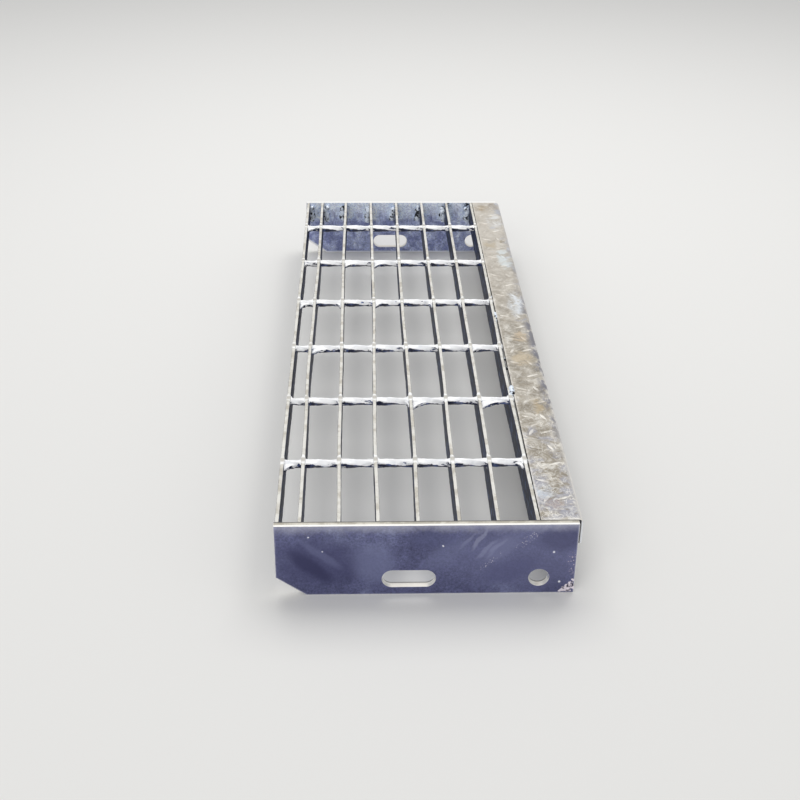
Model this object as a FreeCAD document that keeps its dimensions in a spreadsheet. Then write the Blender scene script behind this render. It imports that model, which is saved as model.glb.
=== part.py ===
# Bar-grating stair tread of galvanised steel, a fixed weldment that bolts between two stair stringers.
# Eight bearing bars run between two drilled end plates, twisted square rods are forged through the bars,
# and a folded checker-plate nosing closes the front edge.
# X points forward to the nosing, Y along the tread to its right end, Z up from the plates' bottom edges.
import FreeCAD, Part
import math
import os
import Sketcher
from FreeCAD import Placement, Rotation, Vector

# Driving sizes: lengths in millimetres, angles in degrees, counts as plain numbers
DRIVING = {
    # End plates: the hole's diameter is also the slot's width
    "tread_length": 670,
    "plate_height": 65,
    "plate_thickness": 6,
    "chamfer_run": 23.5,
    "chamfer_rise": 17,
    "hole_diameter": 15.5,
    "slot_length": 41,
    "hole_height": 15,
    "hole_from_front": 28,
    "hole_spacing": 100,
    # Bearing bars: the rear bar stands closer to its neighbour than the others do
    "bar_count": 8,
    "bar_depth": 25,
    "bar_thickness": 3,
    "bar_pitch": 30,
    "rear_pitch": 17,
    # Cross rods: the row stands off the tread's middle by its shift, towards the right end,
    # and the cover is what the bars keep above the rods' highest corners
    "rod_count": 6,
    "rod_side": 5,
    "rod_pitch": 100,
    "rod_row_shift": 7,
    "rod_cover": 0.6,
    "rod_end_clearance": 0.4,
    "bays_per_turn": 4,
    "twist_step": 15,
    # Nosing: gap to the front bar and standoff from the plates' front edges
    "nosing_thickness": 3,
    "nosing_width": 32.3,
    "nosing_drop": 22,
    "nosing_bend": 4,
    "nosing_gap": 1.2,
    "nosing_standoff": 0.5,
    # Raised lentils of the checker plate
    "lentil_length": 14,
    "lentil_width": 4.5,
    "lentil_height": 1,
    "lentil_slope": 45,
    "lentil_pitch": 49,
    "lentil_tilt": 25,
    "lentil_edge": 1.2,
    "first_lentil": 28,
    # Weld beads: a tack stays clear of the lentils and the rods' ends by its clearance
    "weld_leg": 4,
    "weld_margin": 3.5,
    "tack_length": 12,
    "tack_height": 1,
    "tack_clearance": 0.2,
    "tack_pitch": 152,
    "first_tack": 45.5,
}

# Sizes and places worked out from the driving ones
DERIVED = {
    "inner_length": "tread_length - 2 * plate_thickness",
    "left_inner": "-inner_length / 2",
    "front_bar_face": "bar_thickness + rear_pitch + (bar_count - 2) * bar_pitch",
    "plate_width": "front_bar_face + nosing_gap + nosing_width - nosing_thickness - nosing_standoff",
    "rear_edge": "-(plate_width + nosing_standoff + nosing_thickness + lentil_height) / 2",
    "nosing_rear": "rear_edge + front_bar_face + nosing_gap",
    "nosing_front": "nosing_rear + nosing_width",
    "rod_height": "plate_height - rod_cover - rod_side / sqrt(2)",
    "first_rod": "(inner_length - (rod_count - 1) * rod_pitch) / 2 + rod_row_shift",
    "lentil_reach": "lentil_length / 2 * cos(lentil_tilt) + lentil_edge",
    "rear_row": "nosing_rear + lentil_reach",
    "front_row": "nosing_front - nosing_bend - lentil_reach",
    "flange_row": "plate_height - (nosing_bend + nosing_drop) / 2",
    "lentil_room": "inner_length - first_lentil - lentil_length",
    "tack_width": "nosing_gap + 2 * (lentil_edge - tack_clearance)",
    "tack_root": "rod_cover - tack_clearance",
    "tack_count": "floor((inner_length - first_tack - tack_length) / tack_pitch) + 1",
}

# Which bars carry their weld on the front side: the two rear ones, the rest on the rear side
FRONT_WELDED_BARS = 2

doc = FreeCAD.newDocument("stair_tread")


def make_sheet():
    """The spreadsheet that holds every size, the driving ones as plain numbers."""
    cells = doc.addObject("Spreadsheet::Sheet", "sizes")
    entries = [(name, str(number)) for name, number in DRIVING.items()]
    entries += [(name, "=" + formula) for name, formula in DERIVED.items()]
    for row, (name, content) in enumerate(entries, start=1):
        cells.set(f"A{row}", name)
        cells.set(f"B{row}", content)
        cells.setAlias(f"B{row}", name)
    doc.recompute()
    return cells


sheet = make_sheet()


def size(name):
    """A size's number, for the pieces whose shape is worked out in code."""
    return float(sheet.get(name))


def origin_feature(body, role):
    """One of a body's own origin planes or axes."""
    return next(item for item in body.Origin.OriginFeatures if item.Role == role)


def make_body(name):
    """A body that may hold several separate solids, as a group of weld beads does."""
    body = doc.addObject("PartDesign::Body", name)
    body.Label = name
    body.AllowCompound = True
    return body


def make_sketch(body, name, role):
    """A sketch on one of the body's origin planes."""
    sketch = body.newObject("Sketcher::SketchObject", name)
    sketch.AttachmentSupport = (origin_feature(body, role), "")
    sketch.MapMode = "FlatFace"
    return sketch


def shift(sketch, along_x, along_y, along_normal):
    """Moves a sketch within and off its plane by bound amounts."""
    sketch.setExpression("AttachmentOffset.Base.x", along_x)
    sketch.setExpression("AttachmentOffset.Base.y", along_y)
    sketch.setExpression("AttachmentOffset.Base.z", along_normal)


def dimension(sketch, name, kind, references, expression):
    """A named sketch dimension bound to the sheet."""
    value = sketch.evalExpression(expression)
    number = sketch.addConstraint(Sketcher.Constraint(kind, *references, value))
    sketch.renameConstraint(number, name)
    sketch.setExpression("Constraints." + name, expression)


def closed_outline(sketch, points):
    """Straight lines through the points and back to the first, joined at their ends."""
    count = len(points)
    for index, point in enumerate(points):
        sketch.addGeometry(Part.LineSegment(point, points[(index + 1) % count]))
    for index in range(count):
        sketch.addConstraint(Sketcher.Constraint("Coincident", index, 2, (index + 1) % count, 1))


def level(sketch, lines):
    """Keeps sketch lines horizontal."""
    for line in lines:
        sketch.addConstraint(Sketcher.Constraint("Horizontal", line))


def upright(sketch, lines):
    """Keeps sketch lines vertical."""
    for line in lines:
        sketch.addConstraint(Sketcher.Constraint("Vertical", line))


def pad(body, name, sketch, length, midplane=False):
    """A sketch pushed out to a solid, from its plane or to both sides of it."""
    feature = body.newObject("PartDesign::Pad", name)
    feature.Profile = sketch
    feature.setExpression("Length", length)
    feature.Midplane = midplane
    doc.recompute()
    return feature


def pattern(body, name, feature, axis_role, spacing, count):
    """Copies of a feature in a row along one of the body's axes."""
    row = body.newObject("PartDesign::LinearPattern", name)
    row.Originals = [feature]
    row.Direction = (origin_feature(body, axis_role), [""])
    row.Mode = "Spacing"
    row.setExpression("Offset", spacing)
    row.setExpression("Occurrences", count)
    body.Tip = row
    doc.recompute()
    return row


def make_end_plate(name, inner_side):
    """A flat plate with one clipped corner, a round bolt hole and a bolt slot at the same height."""
    body = make_body(name)
    rear = size("rear_edge")
    front = rear + size("plate_width")
    high = size("plate_height")

    outline = make_sketch(body, name + "_outline", "XZ_Plane")
    clip_end = Vector(rear + size("chamfer_run"), 0, 0)
    clip_start = Vector(rear, size("chamfer_rise"), 0)
    front_edge = [Vector(front, 0, 0), Vector(front, high, 0)]
    closed_outline(outline, [clip_end, *front_edge, Vector(rear, high, 0), clip_start])
    level(outline, [0, 2])
    upright(outline, [1, 3])
    outline.addConstraint(Sketcher.Constraint("PointOnObject", 0, 1, -1))
    dimension(outline, "width", "DistanceX", (2, 2, 2, 1), "sizes.plate_width")
    dimension(outline, "height", "DistanceY", (1, 1, 1, 2), "sizes.plate_height")
    dimension(outline, "clip_run", "DistanceX", (4, 1, 4, 2), "sizes.chamfer_run")
    dimension(outline, "clip_rise", "DistanceY", (4, 2, 4, 1), "sizes.chamfer_rise")
    dimension(outline, "rear", "DistanceX", (2, 2, -1, 1), "-sizes.rear_edge")
    blank = pad(body, name + "_blank", outline, "sizes.plate_thickness")

    holes = make_sketch(body, name + "_holes", "XZ_Plane")
    radius = size("hole_diameter") / 2
    half_run = (size("slot_length") - size("hole_diameter")) / 2
    hole = Vector(front - size("hole_from_front"), size("hole_height"), 0)
    slot_front = hole + Vector(half_run - size("hole_spacing"), 0, 0)
    slot_rear = slot_front - Vector(2 * half_run, 0, 0)
    up = Vector(0, radius, 0)
    normal = Vector(0, 0, 1)
    quarter = math.pi / 2
    holes.addGeometry(Part.Circle(hole, normal, radius))
    holes.addGeometry(Part.ArcOfCircle(Part.Circle(slot_front, normal, radius), -quarter, quarter))
    holes.addGeometry(Part.LineSegment(slot_front + up, slot_rear + up))
    holes.addGeometry(Part.ArcOfCircle(Part.Circle(slot_rear, normal, radius), quarter, 3 * quarter))
    holes.addGeometry(Part.LineSegment(slot_rear - up, slot_front - up))
    for first, first_end, second, second_end in ((1, 2, 2, 1), (2, 2, 3, 1), (3, 2, 4, 1), (4, 2, 1, 1)):
        holes.addConstraint(Sketcher.Constraint("Tangent", first, first_end, second, second_end))
    for arc in (1, 3):
        holes.addConstraint(Sketcher.Constraint("Equal", 0, arc))
        holes.addConstraint(Sketcher.Constraint("Horizontal", 0, 3, arc, 3))
    dimension(holes, "diameter", "Diameter", (0,), "sizes.hole_diameter")
    dimension(holes, "height", "DistanceY", (-1, 1, 0, 3), "sizes.hole_height")
    dimension(
        holes, "hole_place", "DistanceX", (-1, 1, 0, 3),
        "sizes.rear_edge + sizes.plate_width - sizes.hole_from_front",
    )
    dimension(holes, "slot_run", "DistanceX", (3, 3, 1, 3), "sizes.slot_length - sizes.hole_diameter")
    dimension(
        holes, "slot_place", "DistanceX", (1, 3, 0, 3),
        "sizes.hole_spacing - (sizes.slot_length - sizes.hole_diameter) / 2",
    )
    cut = body.newObject("PartDesign::Pocket", name + "_cut")
    cut.Profile = holes
    cut.Type = "ThroughAll"
    cut.Reversed = True
    doc.recompute()
    if not cut.Shape.Volume < blank.Shape.Volume:
        raise RuntimeError(name + " has no holes")
    body.setExpression("Placement.Base.y", inner_side)
    return body


def make_twisted_rod():
    """A square rod twisted along X from the rear bar's outer face to just short of the nosing.

    Its faces are stepped in flat triangles. A bar stands in the middle of a step, where the square
    lies level.
    """
    start = size("rear_edge")
    end = size("nosing_rear") - size("rod_end_clearance")
    level_at = start + size("bar_thickness") / 2 + size("rear_pitch")
    turn = size("bays_per_turn") * size("bar_pitch")
    step = turn * size("twist_step") / 360
    first_inside = math.floor((start - level_at) / step + 0.5) + 1
    last_inside = math.ceil((end - level_at) / step + 0.5) - 1
    stations = [level_at + (number - 0.5) * step for number in range(first_inside, last_inside + 1)]
    stations = [start] + stations + [end]
    half_diagonal = size("rod_side") / math.sqrt(2)

    def corners(place):
        angle = 2 * math.pi * (place - level_at) / turn + math.pi / 4
        turned = [angle + quarter * math.pi / 2 for quarter in range(4)]
        return [Vector(place, half_diagonal * math.cos(a), half_diagonal * math.sin(a)) for a in turned]

    def facet(*points):
        return Part.Face(Part.makePolygon([*points, points[0]]))

    rings = [corners(place) for place in stations]
    facets = [facet(*reversed(rings[0])), facet(*rings[-1])]
    for ring, following in zip(rings, rings[1:]):
        for side in range(4):
            other = (side + 1) % 4
            facets.append(facet(ring[side], ring[other], following[side]))
            facets.append(facet(ring[other], following[other], following[side]))
    return Part.makeSolid(Part.makeShell(facets))


def make_cross_rods():
    """The twisted rods, evenly spaced along the tread just below the bars' tops."""
    shape = make_twisted_rod()
    rods = []
    for number in range(int(size("rod_count"))):
        rod = doc.addObject("Part::Feature", f"cross_rod_{number + 1}")
        rod.Shape = shape.copy()
        from_plate = f"sizes.first_rod + {number} * sizes.rod_pitch"
        rod.setExpression("Placement.Base.y", "sizes.left_inner + " + from_plate)
        rod.setExpression("Placement.Base.z", "sizes.rod_height")
        rods.append(rod)
    doc.recompute()
    return rods


def bar_place(number):
    """Where a bar's middle plane stands in X, counted from the rear bar as number 0."""
    rear_bar = "sizes.rear_edge + sizes.bar_thickness / 2"
    if number == 0:
        return rear_bar
    return f"{rear_bar} + sizes.rear_pitch + {number - 1} * sizes.bar_pitch"


def make_bearing_bars(rods):
    """Flat bars on edge, each with the rods' own shape pressed through it."""
    pressed_rods = doc.addObject("Part::Compound", "pressed_rods")
    pressed_rods.Links = rods
    bars = []
    for number in range(int(size("bar_count"))):
        name = f"bearing_bar_{number + 1}"
        blank = make_body(name + "_blank")
        side_view = make_sketch(blank, name + "_side", "YZ_Plane")
        half = size("inner_length") / 2
        top = size("plate_height")
        bottom = top - size("bar_depth")
        lower = [Vector(-half, bottom, 0), Vector(half, bottom, 0)]
        upper = [Vector(half, top, 0), Vector(-half, top, 0)]
        closed_outline(side_view, lower + upper)
        level(side_view, [2])
        upright(side_view, [1, 3])
        side_view.addConstraint(Sketcher.Constraint("Symmetric", 0, 1, 0, 2, -2))
        dimension(side_view, "length", "DistanceX", (0, 1, 0, 2), "sizes.inner_length")
        dimension(side_view, "depth", "DistanceY", (1, 1, 1, 2), "sizes.bar_depth")
        dimension(side_view, "top", "DistanceY", (-1, 1, 2, 1), "sizes.plate_height")
        pad(blank, name + "_flat", side_view, "sizes.bar_thickness", midplane=True)
        blank.setExpression("Placement.Base.x", bar_place(number))
        bar = doc.addObject("Part::Cut", name)
        bar.Base = blank
        bar.Tool = pressed_rods
        bars.append(bar)
    doc.recompute()
    return bars


def make_nosing_profile(body):
    """The folded angle's cross-section: a top leg, a bend and a front flange."""
    profile = make_sketch(body, "nosing_profile", "XZ_Plane")
    rear = size("nosing_rear")
    front = size("nosing_front")
    top = size("plate_height")
    sheet_thickness = size("nosing_thickness")
    bend = size("nosing_bend")
    foot = top - size("nosing_drop")
    centre = Vector(front - bend, top - bend, 0)
    normal = Vector(0, 0, 1)
    quarter = math.pi / 2
    under = top - sheet_thickness
    inside = front - sheet_thickness
    profile.addGeometry(Part.LineSegment(Vector(rear, top, 0), Vector(front - bend, top, 0)))
    profile.addGeometry(Part.ArcOfCircle(Part.Circle(centre, normal, bend), 0, quarter))
    profile.addGeometry(Part.LineSegment(Vector(front, top - bend, 0), Vector(front, foot, 0)))
    profile.addGeometry(Part.LineSegment(Vector(front, foot, 0), Vector(inside, foot, 0)))
    profile.addGeometry(Part.LineSegment(Vector(inside, foot, 0), Vector(inside, top - bend, 0)))
    profile.addGeometry(Part.ArcOfCircle(Part.Circle(centre, normal, bend - sheet_thickness), 0, quarter))
    profile.addGeometry(Part.LineSegment(Vector(front - bend, under, 0), Vector(rear, under, 0)))
    profile.addGeometry(Part.LineSegment(Vector(rear, under, 0), Vector(rear, top, 0)))
    for first, first_end, second, second_end in ((0, 2, 1, 2), (1, 1, 2, 1), (4, 2, 5, 1), (5, 2, 6, 1)):
        profile.addConstraint(Sketcher.Constraint("Tangent", first, first_end, second, second_end))
    for first, second in ((2, 3), (3, 4), (6, 7), (7, 0)):
        profile.addConstraint(Sketcher.Constraint("Coincident", first, 2, second, 1))
    profile.addConstraint(Sketcher.Constraint("Coincident", 1, 3, 5, 3))
    level(profile, [0, 3])
    upright(profile, [2, 7])
    dimension(profile, "thickness", "DistanceX", (3, 2, 3, 1), "sizes.nosing_thickness")
    dimension(profile, "bend", "Radius", (1,), "sizes.nosing_bend")
    dimension(profile, "width", "DistanceX", (0, 1, 3, 1), "sizes.nosing_width")
    dimension(profile, "drop", "DistanceY", (3, 1, 0, 1), "sizes.nosing_drop")
    dimension(profile, "top", "DistanceY", (-1, 1, 0, 1), "sizes.plate_height")
    dimension(profile, "rear", "DistanceX", (-1, 1, 0, 1), "sizes.nosing_rear")
    return profile


def add_lentils(body, name, role, place, turned, starts_late):
    """One row of raised lens-shaped lentils with sloped sides, all turned the same way.

    A row that starts late fills the places half a pitch on from the others.
    """
    half_pitch = " + sizes.lentil_pitch / 2" if starts_late else ""
    start = "sizes.left_inner + sizes.first_lentil" + half_pitch
    across, out = place
    lens = make_sketch(body, name + "_lens", role)
    lens.AttachmentOffset = Placement(Vector(), Rotation(Vector(0, 0, 1), lens.evalExpression(turned)))
    lens.setExpression("AttachmentOffset.Rotation.Angle", turned)
    if role == "XY_Plane":
        shift(lens, across, start, out)
    else:
        shift(lens, start, across, out)
    half_length = size("lentil_length") / 2
    half_width = size("lentil_width") / 2
    tips = (Vector(-half_length, 0, 0), Vector(half_length, 0, 0))
    lens.addGeometry(Part.Arc(tips[1], Vector(0, half_width, 0), tips[0]))
    lens.addGeometry(Part.Arc(tips[0], Vector(0, -half_width, 0), tips[1]))
    lens.addConstraint(Sketcher.Constraint("Coincident", 0, 2, 1, 1))
    lens.addConstraint(Sketcher.Constraint("Coincident", 1, 2, 0, 1))
    lens.addConstraint(Sketcher.Constraint("Symmetric", 0, 1, 0, 2, -1, 1))
    lens.addConstraint(Sketcher.Constraint("PointOnObject", 0, 1, -1))
    lens.addConstraint(Sketcher.Constraint("Equal", 0, 1))
    dimension(lens, "length", "DistanceX", (0, 2, 0, 1), "sizes.lentil_length")
    bow = "(sizes.lentil_length ^ 2 / sizes.lentil_width + sizes.lentil_width) / 4"
    dimension(lens, "bow", "Radius", (0,), bow)
    raised = pad(body, name, lens, "sizes.lentil_height")
    raised.setExpression("TaperAngle", "-sizes.lentil_slope")
    doc.recompute()
    room = "(sizes.lentil_room - sizes.lentil_pitch / 2)" if starts_late else "sizes.lentil_room"
    count = f"floor({room} / sizes.lentil_pitch) + 1"
    pattern(body, name + "_row", raised, "Y_Axis", "sizes.lentil_pitch", count)


def make_nosing():
    """Checker plate folded along the front edge, with lentils on its top leg and its front flange."""
    body = make_body("nosing")
    pad(body, "nosing_fold", make_nosing_profile(body), "sizes.inner_length", midplane=True)
    rear_row = ("sizes.rear_row", "sizes.plate_height")
    front_row = ("sizes.front_row", "sizes.plate_height")
    flange_row = ("sizes.flange_row", "sizes.nosing_front")
    add_lentils(body, "front_cross_lentil", "XY_Plane", front_row, "sizes.lentil_tilt", False)
    add_lentils(body, "front_long_lentil", "XY_Plane", front_row, "sizes.lentil_tilt + 90", True)
    add_lentils(body, "rear_cross_lentil", "XY_Plane", rear_row, "360 - sizes.lentil_tilt", True)
    add_lentils(body, "rear_long_lentil", "XY_Plane", rear_row, "90 - sizes.lentil_tilt", False)
    add_lentils(body, "flange_cross_lentil", "YZ_Plane", flange_row, "90 - sizes.lentil_tilt", True)
    add_lentils(body, "flange_long_lentil", "YZ_Plane", flange_row, "180 - sizes.lentil_tilt", False)
    return body


def fillet_bead(sketch, side):
    """A weld bead's section in a corner at the sketch's origin, with a bulging face, on one side of it."""
    leg = size("weld_leg")
    bulge = leg / math.sqrt(2)
    tips = (Vector(side * leg, 0, 0), Vector(0, leg, 0))
    swell = Vector(side * bulge, bulge, 0)
    sketch.addGeometry(Part.LineSegment(Vector(0, 0, 0), tips[0]))
    sketch.addGeometry(Part.LineSegment(tips[1], Vector(0, 0, 0)))
    sketch.addGeometry(Part.Arc(tips[0], swell, tips[1]))
    first_end, last_end = (1, 2) if side > 0 else (2, 1)
    sketch.addConstraint(Sketcher.Constraint("Coincident", 0, 1, -1, 1))
    sketch.addConstraint(Sketcher.Constraint("Coincident", 1, 2, -1, 1))
    sketch.addConstraint(Sketcher.Constraint("Coincident", 0, 2, 2, first_end))
    sketch.addConstraint(Sketcher.Constraint("Coincident", 1, 1, 2, last_end))
    sketch.addConstraint(Sketcher.Constraint("Coincident", 2, 3, -1, 1))
    level(sketch, [0])
    upright(sketch, [1])
    dimension(sketch, "leg", "DistanceY", (1, 2, 1, 1), "sizes.weld_leg")


def make_left_plate_welds():
    """One fillet bead up the corner between each bar's end and the left plate."""
    body = make_body("left_plate_welds")
    foot = "sizes.plate_height - sizes.bar_depth + sizes.weld_margin"
    tall = "sizes.bar_depth - 2 * sizes.weld_margin"
    front_face = "sizes.bar_thickness / 2"

    front_bead = make_sketch(body, "front_side_bead", "XY_Plane")
    fillet_bead(front_bead, 1)
    shift(front_bead, f"{bar_place(0)} + {front_face}", "sizes.left_inner", foot)
    bead = pad(body, "front_side_weld", front_bead, tall)
    pattern(body, "front_side_welds", bead, "X_Axis", "sizes.rear_pitch", str(FRONT_WELDED_BARS))

    rear_bead = make_sketch(body, "rear_side_bead", "XY_Plane")
    fillet_bead(rear_bead, -1)
    shift(rear_bead, f"{bar_place(FRONT_WELDED_BARS)} - {front_face}", "sizes.left_inner", foot)
    bead = pad(body, "rear_side_weld", rear_bead, tall)
    rest = f"sizes.bar_count - {FRONT_WELDED_BARS}"
    pattern(body, "rear_side_welds", bead, "X_Axis", "sizes.bar_pitch", rest)
    return body


def make_mirrored(name, source):
    """The same piece at the tread's other end."""
    copy = doc.addObject("Part::Mirroring", name)
    copy.Source = source
    copy.Normal = Vector(0, 1, 0)
    doc.recompute()
    return copy


def make_nosing_welds():
    """Tacks that bridge the gap between the front bar and the nosing, and a bead under each nosing end."""
    body = make_body("nosing_welds")
    section = make_sketch(body, "tack_section", "XZ_Plane")
    top = size("plate_height")
    rear = size("nosing_rear") - size("nosing_gap")
    front = size("nosing_rear")
    root = top - size("tack_root")
    reach = (size("tack_width") - size("nosing_gap")) / 2
    crown = Vector((rear + front) / 2, top + size("tack_height"), 0)
    toes = (Vector(rear - reach, top, 0), Vector(front + reach, top, 0))
    section.addGeometry(Part.Arc(toes[1], crown, toes[0]))
    rear_wall = [Vector(rear, top, 0), Vector(rear, root, 0)]
    front_wall = [Vector(front, root, 0), Vector(front, top, 0)]
    path = [toes[0], *rear_wall, *front_wall, toes[1]]
    for begin, finish in zip(path, path[1:]):
        section.addGeometry(Part.LineSegment(begin, finish))
    for line in range(1, 5):
        section.addConstraint(Sketcher.Constraint("Coincident", line, 2, line + 1, 1))
    section.addConstraint(Sketcher.Constraint("Coincident", 0, 2, 1, 1))
    section.addConstraint(Sketcher.Constraint("Coincident", 5, 2, 0, 1))
    level(section, [1, 3, 5])
    upright(section, [2, 4])
    section.addConstraint(Sketcher.Constraint("Equal", 1, 5))
    section.addConstraint(Sketcher.Constraint("Equal", 2, 4))
    dimension(section, "gap", "DistanceX", (3, 1, 3, 2), "sizes.nosing_gap")
    dimension(section, "root", "DistanceY", (2, 2, 2, 1), "sizes.tack_root")
    dimension(section, "width", "DistanceX", (0, 2, 0, 1), "sizes.tack_width")
    dimension(section, "top", "DistanceY", (-1, 1, 2, 1), "sizes.plate_height")
    dimension(section, "place", "DistanceX", (-1, 1, 4, 1), "sizes.nosing_rear")
    bow = "(sizes.tack_width ^ 2 / sizes.tack_height / 4 + sizes.tack_height) / 2"
    dimension(section, "bow", "Radius", (0,), bow)
    shift(section, "0", "0", "-(sizes.left_inner + sizes.first_tack)")
    tack = pad(body, "tack", section, "sizes.tack_length", midplane=True)
    pattern(body, "tacks", tack, "Y_Axis", "sizes.tack_pitch", "sizes.tack_count")

    under = make_sketch(body, "end_bead", "YZ_Plane")
    fillet_bead(under, 1)
    under.AttachmentOffset = Placement(Vector(), Rotation(Vector(0, 0, 1), -90))
    underside = "sizes.plate_height - sizes.nosing_thickness"
    shift(under, "sizes.left_inner", underside, "sizes.nosing_rear + sizes.weld_margin")
    flat_run = "sizes.nosing_width - sizes.nosing_bend - 2 * sizes.weld_margin"
    left_bead = pad(body, "left_end_bead", under, flat_run)
    both_ends = body.newObject("PartDesign::Mirrored", "end_beads")
    both_ends.Originals = [left_bead]
    both_ends.MirrorPlane = (origin_feature(body, "XZ_Plane"), [""])
    body.Tip = both_ends
    doc.recompute()
    return body


def make_tread():
    """Every piece of the tread, in the order in which it is put together."""
    rods = make_cross_rods()
    left_welds = make_left_plate_welds()
    return [
        make_end_plate("left_end_plate", "sizes.left_inner"),
        make_end_plate("right_end_plate", "sizes.tread_length / 2"),
        *rods,
        *make_bearing_bars(rods),
        make_nosing(),
        left_welds,
        make_mirrored("right_plate_welds", left_welds),
        make_nosing_welds(),
    ]


def check(pieces):
    """Stops the build if any object failed or any piece is not a valid solid."""
    doc.recompute()
    for item in doc.Objects:
        if "Invalid" in item.State or "Error" in item.State:
            raise RuntimeError(f"{item.Name} failed: {item.State}")
    for piece in pieces:
        if piece.Shape.isNull() or not piece.Shape.isValid() or not piece.Shape.Solids:
            raise RuntimeError(f"{piece.Label} is not a valid solid")


tread = make_tread()
check(tread)
os.makedirs("parts", exist_ok=True)
for node in tread:
    node.Shape.exportStep(f"parts/{node.Label}.step")
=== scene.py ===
import functools
import math
import random

import bmesh
import bpy
from mathutils import Matrix, Vector


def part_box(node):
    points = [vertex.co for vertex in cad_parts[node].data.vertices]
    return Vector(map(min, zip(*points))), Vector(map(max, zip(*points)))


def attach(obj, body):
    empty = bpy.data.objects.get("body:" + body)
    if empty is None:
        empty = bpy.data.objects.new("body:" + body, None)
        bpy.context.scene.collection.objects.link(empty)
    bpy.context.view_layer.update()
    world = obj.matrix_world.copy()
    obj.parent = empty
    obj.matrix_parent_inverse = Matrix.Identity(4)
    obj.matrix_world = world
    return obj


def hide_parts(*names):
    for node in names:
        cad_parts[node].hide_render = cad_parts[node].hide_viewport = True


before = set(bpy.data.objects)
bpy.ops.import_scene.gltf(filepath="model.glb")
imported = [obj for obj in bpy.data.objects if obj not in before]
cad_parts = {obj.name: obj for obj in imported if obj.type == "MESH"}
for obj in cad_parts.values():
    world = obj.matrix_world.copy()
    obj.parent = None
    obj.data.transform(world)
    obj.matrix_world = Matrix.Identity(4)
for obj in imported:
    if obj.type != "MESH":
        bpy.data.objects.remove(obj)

# Galvanised bar-grating stair tread: two end plates, eight bars on edge, six twisted rods, a checker-plate
# nosing and the welds that hold them. Lengths are metres unless they are written with MM.
MM = 0.001
UP = Vector((0, 0, 1))
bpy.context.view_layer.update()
random.seed(41)

# Where the pieces stand
BAR_COUNT = 8
ROD_COUNT = 6
TREAD_TOP = 65 * MM
PLATE_INNER = 329 * MM
PLATE_OUTER = 335 * MM
PLATE_BACK = -117.25 * MM
PLATE_FRONT = 112.75 * MM
CORNER_CUT_LENGTH = 23.5 * MM
CORNER_CUT_HEIGHT = 17 * MM
CORNER_CUT_INWARD = Vector((CORNER_CUT_HEIGHT, 0, CORNER_CUT_LENGTH)).normalized()
CORNER_CUT_OFFSET = CORNER_CUT_INWARD.dot(Vector((PLATE_BACK, 0, CORNER_CUT_HEIGHT)))
ROD_SIDE = 5 * MM
ROD_AXIS = 60.86 * MM
ROD_TURN = 120 * MM
ROD_LEVEL_AT = -98.75 * MM
BAR_PLACES = [sum(corner.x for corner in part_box(f"bearing_bar_{n + 1}")) / 2 for n in range(BAR_COUNT)]
ROD_PLACES = [sum(corner.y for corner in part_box(f"cross_rod_{n + 1}")) / 2 for n in range(ROD_COUNT)]
# The bars are a little bent: how far each strays to the front at six places along it, in millimetres
STRAY_PLACES = [-330, -210, -90, 30, 150, 330]
BAR_STRAYS = [
    [0.9, 0.5, 0.8, 1.0, 1.7, 1.5],
    [0.9, 0.4, -1.0, 0.3, 1.6, 1.2],
    [0.4, -0.8, -0.8, -1.2, -1.6, -0.6],
    [-0.1, -1.2, -0.5, 0.6, 0.1, -0.5],
    [0.0, 1.2, 0.6, -0.7, -0.9, 0.2],
    [1.2, 1.4, 2.5, 1.7, 0.9, 0.8],
    [0.6, 1.4, 1.7, 1.3, 1.4, 1.0],
    [0.7, 0.1, -0.9, 0.1, 0.7, 0.8],
]


def stray(bar, along):
    """How far one bar strays at one place along it, eased from one given place to the next."""
    strays = BAR_STRAYS[bar]
    for step in range(len(STRAY_PLACES) - 1):
        before, after = STRAY_PLACES[step] * MM, STRAY_PLACES[step + 1] * MM
        if along <= after:
            share = max(0, (along - before) / (after - before))
            eased = (1 - math.cos(math.pi * share)) / 2
            return (strays[step] + (strays[step + 1] - strays[step]) * eased) * MM
    return strays[-1] * MM


# Bench work: selecting, shaping and joining
SAME_PLACE = 0.01 * MM
CLOSE_BY = 0.1 * MM
WELD_SEAMS_WITHIN = 0.005 * MM
FLAT_WITHIN = math.radians(0.5)
SHARP_FROM = math.radians(38)
ROUNDED_FROM = math.radians(60)
LUMP_SIZES = (0.8, 1.2)


def put_down():
    """Leave edit mode and let go of everything."""
    if bpy.context.mode != "OBJECT":
        bpy.ops.object.mode_set(mode="OBJECT")
    bpy.ops.object.select_all(action="DESELECT")


def take(piece):
    """Hold one piece alone."""
    put_down()
    piece.select_set(True)
    bpy.context.view_layer.objects.active = piece


def edit(piece, kind="VERT"):
    """Open a piece for editing, all of it selected."""
    take(piece)
    bpy.ops.object.mode_set(mode="EDIT")
    bpy.ops.mesh.select_mode(type=kind)
    bpy.ops.mesh.select_all(action="SELECT")


def choose(piece, kind, test):
    """Select only the verts, edges or faces of an open piece that pass a test of their place."""
    bpy.ops.mesh.select_all(action="DESELECT")
    mesh = bmesh.from_edit_mesh(piece.data)
    for item in getattr(mesh, kind):
        if test(item):
            item.select_set(True)
    mesh.select_flush_mode()
    bmesh.update_edit_mesh(piece.data)


def face_out():
    """Turn the faces of the open piece outwards."""
    bpy.ops.mesh.select_all(action="SELECT")
    bpy.ops.mesh.normals_make_consistent(inside=False)


def shape(piece, kind, **settings):
    """Add a modifier with its settings and apply it."""
    modifier = piece.modifiers.new(kind.lower(), kind)
    for name, value in settings.items():
        setattr(modifier, name, value)
    take(piece)
    bpy.ops.object.modifier_apply(modifier=modifier.name)


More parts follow.
